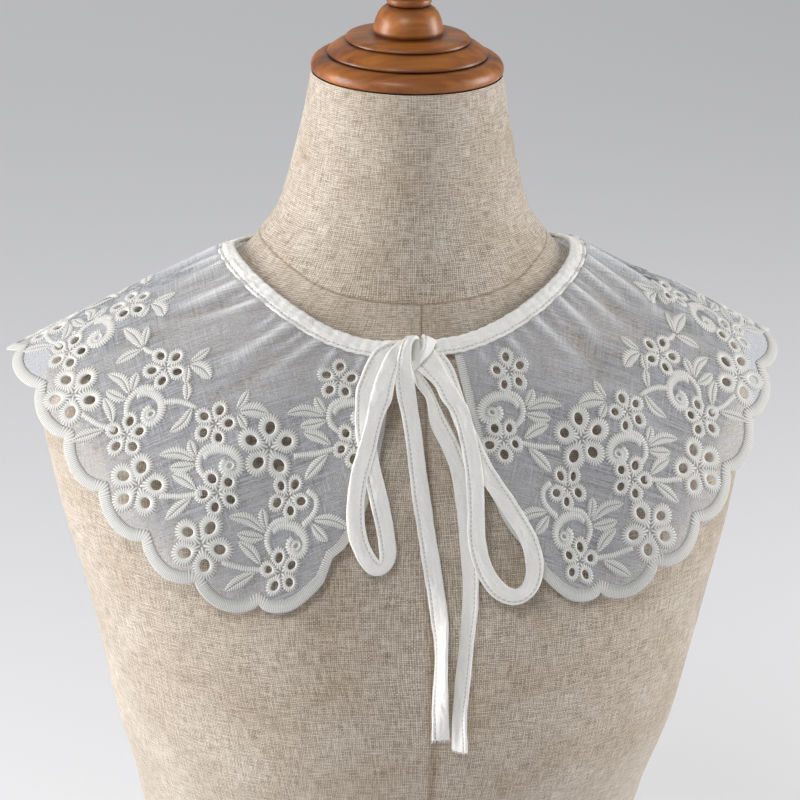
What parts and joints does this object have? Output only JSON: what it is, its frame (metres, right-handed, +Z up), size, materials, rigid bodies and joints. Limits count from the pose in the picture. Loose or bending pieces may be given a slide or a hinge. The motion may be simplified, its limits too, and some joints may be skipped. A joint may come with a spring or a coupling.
{
  "type": "lace collar on a dress form",
  "caption": "Wide eyelet-embroidered cape collar with a scalloped edge and a tied bow, resting on a limbless linen dress form with a turned cap.",
  "frame": {"origin": "centre of the base board's underside, on the form's neck axis", "axes": "+Z up along the neck, -Y towards the front of the form, +X to the viewer's right"},
  "size_m": [0.4342, 0.3024, 0.7262],
  "materials": {
    "voile": "sheer matte cotton voile with satin-stitched eyelets",
    "cotton_strip": "folded and topstitched cotton, matte",
    "linen": "slubby plain-woven linen, matte",
    "wood": "turned wood with a satin varnish"
  },
  "bodies": {
    "root": {"base_board": "wood", "form_body": "linen", "neck_cap": "wood", "collar_panel_left": "voile", "collar_panel_right": "voile", "neck_binding": "cotton_strip", "bow_knot": "cotton_strip", "bow_loop_left": "cotton_strip", "bow_loop_right": "cotton_strip", "tie_tail_front": "cotton_strip", "tie_tail_back": "cotton_strip"}
  },
  "joints": []
}
